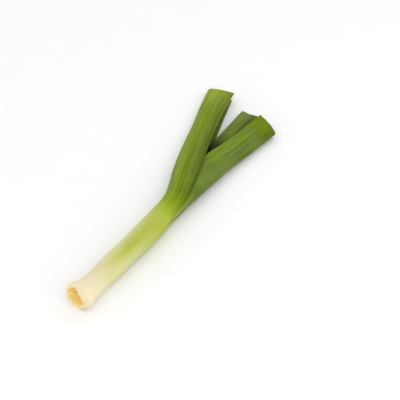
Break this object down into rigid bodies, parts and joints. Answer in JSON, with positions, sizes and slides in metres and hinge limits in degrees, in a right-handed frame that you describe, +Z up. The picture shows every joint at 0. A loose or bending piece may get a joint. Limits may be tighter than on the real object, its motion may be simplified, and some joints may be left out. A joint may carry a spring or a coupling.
{
  "type": "leek",
  "caption": "Trimmed leek lying on its side: cut root end, pale round shaft, and nested green leaves fanning out into folded, cut blades.",
  "frame": {"origin": "middle of the leek's bounding box, at the height of the surface it lies on", "axes": "+X along the straight shaft, from the root end to the leaf tips; +Z up from the surface"},
  "size_m": [0.3478, 0.1124, 0.028],
  "materials": {
    "cut_root": "dry fibrous cut root end, golden, matt",
    "outer_green": "fresh leaf, cream-white at the root turning lime and then deep green, satin, fine lengthwise veins",
    "mid_green": "fresh green leaf, satin, lengthwise veins, thin waxy bloom",
    "blue_green": "fresh blue-green leaf, satin, waxy bloom"
  },
  "bodies": {
    "root": {"root_plate": "cut_root", "outer_leaf": "outer_green", "second_leaf": "mid_green", "inner_leaf": "blue_green"}
  },
  "joints": []
}
